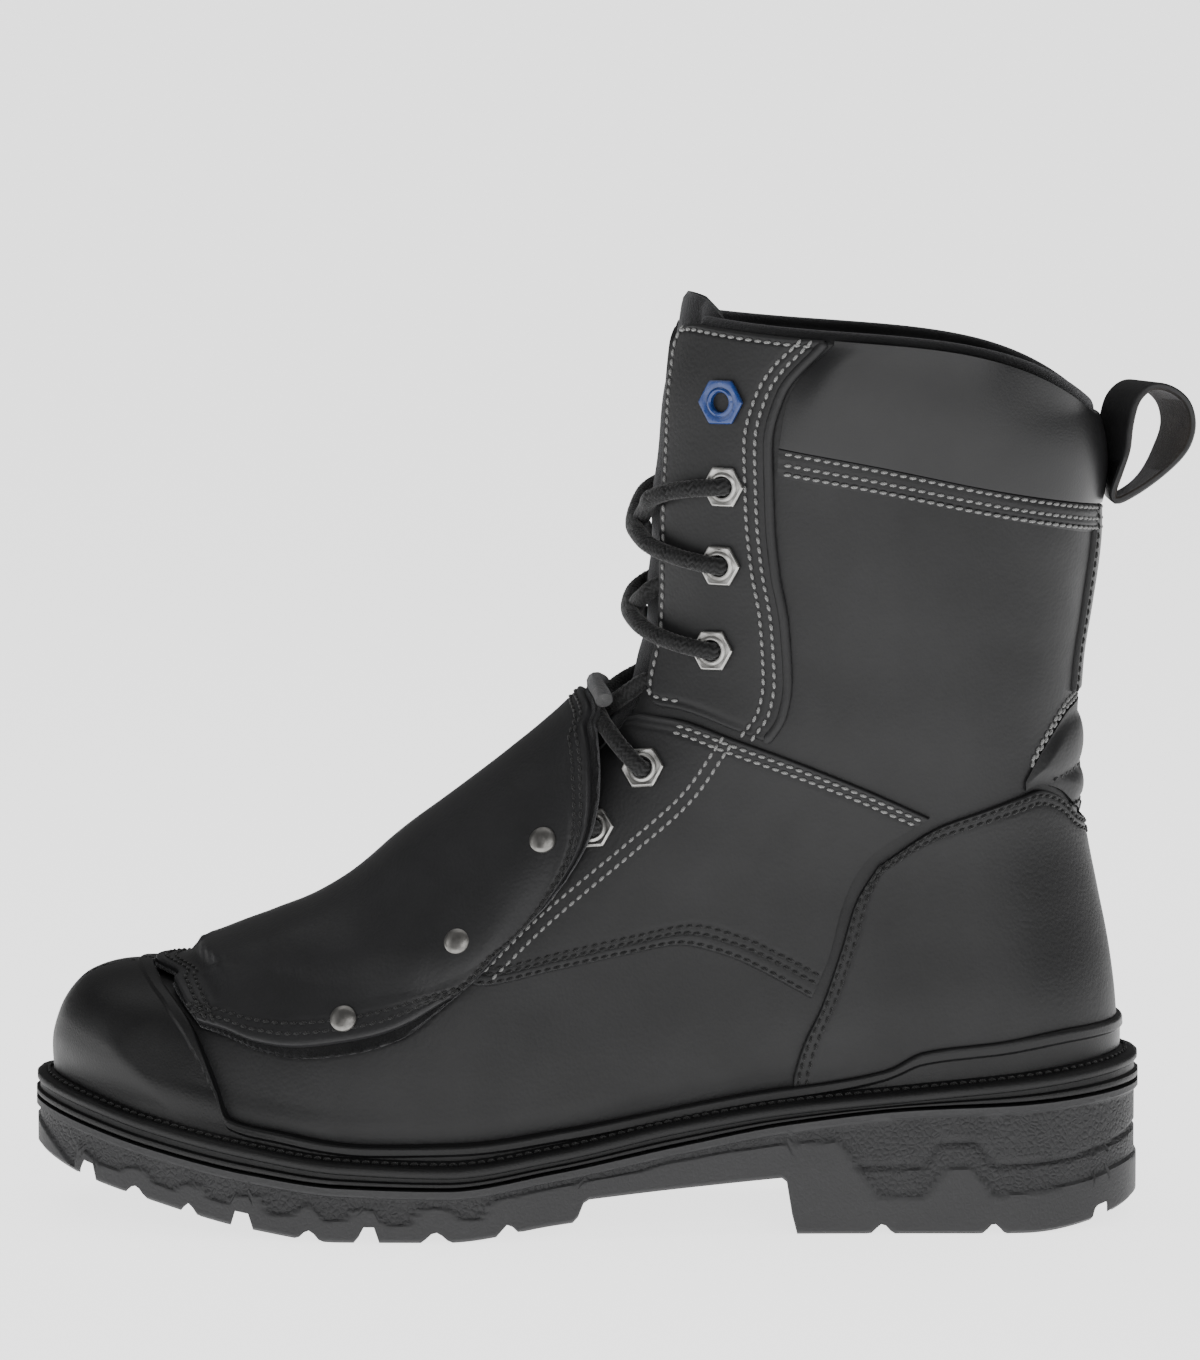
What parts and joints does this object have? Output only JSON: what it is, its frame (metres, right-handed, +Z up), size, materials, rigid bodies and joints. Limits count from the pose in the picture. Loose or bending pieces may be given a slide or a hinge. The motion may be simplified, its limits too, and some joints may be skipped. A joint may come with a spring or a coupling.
{
  "type": "metatarsal guard boot",
  "caption": "Eight inch lace-up leather work boot with a rubber toe cap, an outer metatarsal guard flap, a padded collar and a lugged sole.",
  "frame": {"origin": "on the floor, under the middle of the boot's bounding box", "axes": "+X towards the heel, +Y towards the inner (medial) side of the foot, +Z up"},
  "size_m": [0.3264, 0.114, 0.2633],
  "materials": {
    "outsole_rubber": "matt dark grey rubber with a wrinkled side texture",
    "midsole_rubber": "matt black rubber",
    "rand_rubber": "satin black moulded rubber",
    "black_leather": "soft satin black full-grain leather",
    "collar_leather": "smooth black lining leather",
    "black_suede": "matt black suede",
    "aged_nickel": "aged nickel plate",
    "blue_enamel": "blue enamel",
    "black_cord": "round braided black cord",
    "insole_felt": "grey felt"
  },
  "bodies": {
    "root": {"outsole": "outsole_rubber", "midsole": "midsole_rubber", "welt": "midsole_rubber", "insole": "insole_felt", "upper": "black_leather", "rubber_rand": "rand_rubber", "quarter_outer": "black_leather", "quarter_inner": "black_leather", "facing_outer": "black_leather", "facing_inner": "black_leather", "heel_counter": "black_leather", "collar_pad": "collar_leather", "achilles_pad": "collar_leather", "back_strip": "black_leather", "tongue": "black_suede", "guard_pad": "black_suede", "guard_cover": "black_leather", "eyelet_outer_1": "blue_enamel", "eyelet_outer_2": "aged_nickel", "eyelet_outer_3": "aged_nickel", "eyelet_outer_4": "aged_nickel", "eyelet_outer_5": "aged_nickel", "eyelet_outer_6": "aged_nickel", "eyelet_outer_7": "aged_nickel", "eyelet_inner_1": "blue_enamel", "eyelet_inner_2": "aged_nickel", "eyelet_inner_3": "aged_nickel", "eyelet_inner_4": "aged_nickel", "eyelet_inner_5": "aged_nickel", "eyelet_inner_6": "aged_nickel", "eyelet_inner_7": "aged_nickel", "rivet_outer_1": "aged_nickel", "rivet_outer_2": "aged_nickel", "rivet_outer_3": "aged_nickel", "rivet_inner_1": "aged_nickel", "rivet_inner_2": "aged_nickel", "rivet_inner_3": "aged_nickel", "pull_loop": "black_leather", "lace_crossing_2": "black_cord", "lace_crossing_3": "black_cord", "lace_crossing_4": "black_cord"}
  },
  "joints": []
}
